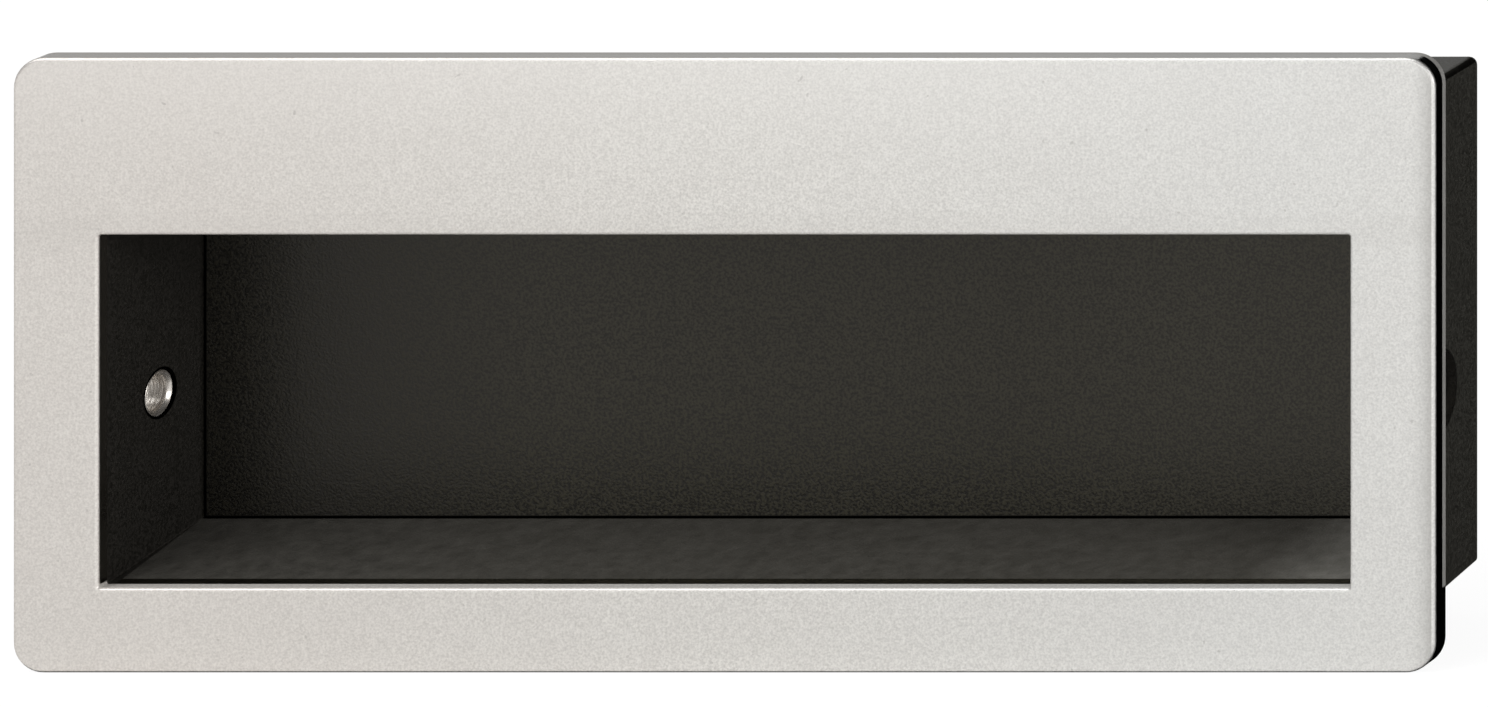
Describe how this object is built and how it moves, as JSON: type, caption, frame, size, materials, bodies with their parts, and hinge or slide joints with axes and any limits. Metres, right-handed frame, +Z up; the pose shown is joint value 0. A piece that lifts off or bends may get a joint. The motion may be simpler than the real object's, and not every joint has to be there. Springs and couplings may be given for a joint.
{
  "type": "recessed pull handle",
  "caption": "Rectangular recessed pull handle: a satin metal trim plate with a low opening, and a black pocket behind it that rises above the opening for the fingertips.",
  "frame": {"origin": "centre of the trim plate's back face, in the plane that seats on the panel", "axes": "+X along the handle, +Z up with the wide margin at the top, +Y into the panel, so the front faces -Y"},
  "size_m": [0.13, 0.0176, 0.0562],
  "materials": {
    "plate": "satin nickel plate on zinc, finely grained, not brushed",
    "pocket": "black, lightly textured moulding",
    "bush": "bright zinc plate"
  },
  "bodies": {
    "root": {"trim_plate": "plate", "pocket_shell": "pocket", "screw_bush_left": "bush", "screw_bush_right": "bush"}
  },
  "joints": []
}
